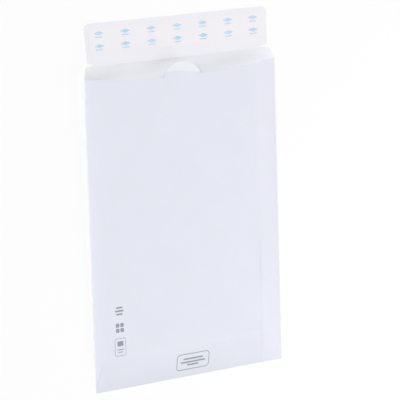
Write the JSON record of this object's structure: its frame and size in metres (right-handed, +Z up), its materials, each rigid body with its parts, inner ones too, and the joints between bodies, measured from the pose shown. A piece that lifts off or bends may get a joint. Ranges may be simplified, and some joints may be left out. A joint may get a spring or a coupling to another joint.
{
  "type": "paper pocket envelope",
  "caption": "Large white paper pocket envelope, open at one short side, with a notched closing flap, a peel-off strip over its adhesive and a half-round tongue at the mouth.",
  "frame": {"origin": "on the surface that the envelope lies on, below the middle of its outline", "axes": "+X across the pocket, +Y from the bottom fold towards the flap, +Z up out of the seal side"},
  "size_m": [0.229, 0.366, 0.0081],
  "materials": {
    "paper": "matte uncoated white paper, slightly blue on the outside",
    "adhesive": "clear pressure-sensitive glue film",
    "liner": "smooth silicone-coated release paper with a pale blue print"
  },
  "bodies": {
    "root": {"envelope_body": "paper", "adhesive_strip": "adhesive", "release_liner": "liner"}
  },
  "joints": []
}
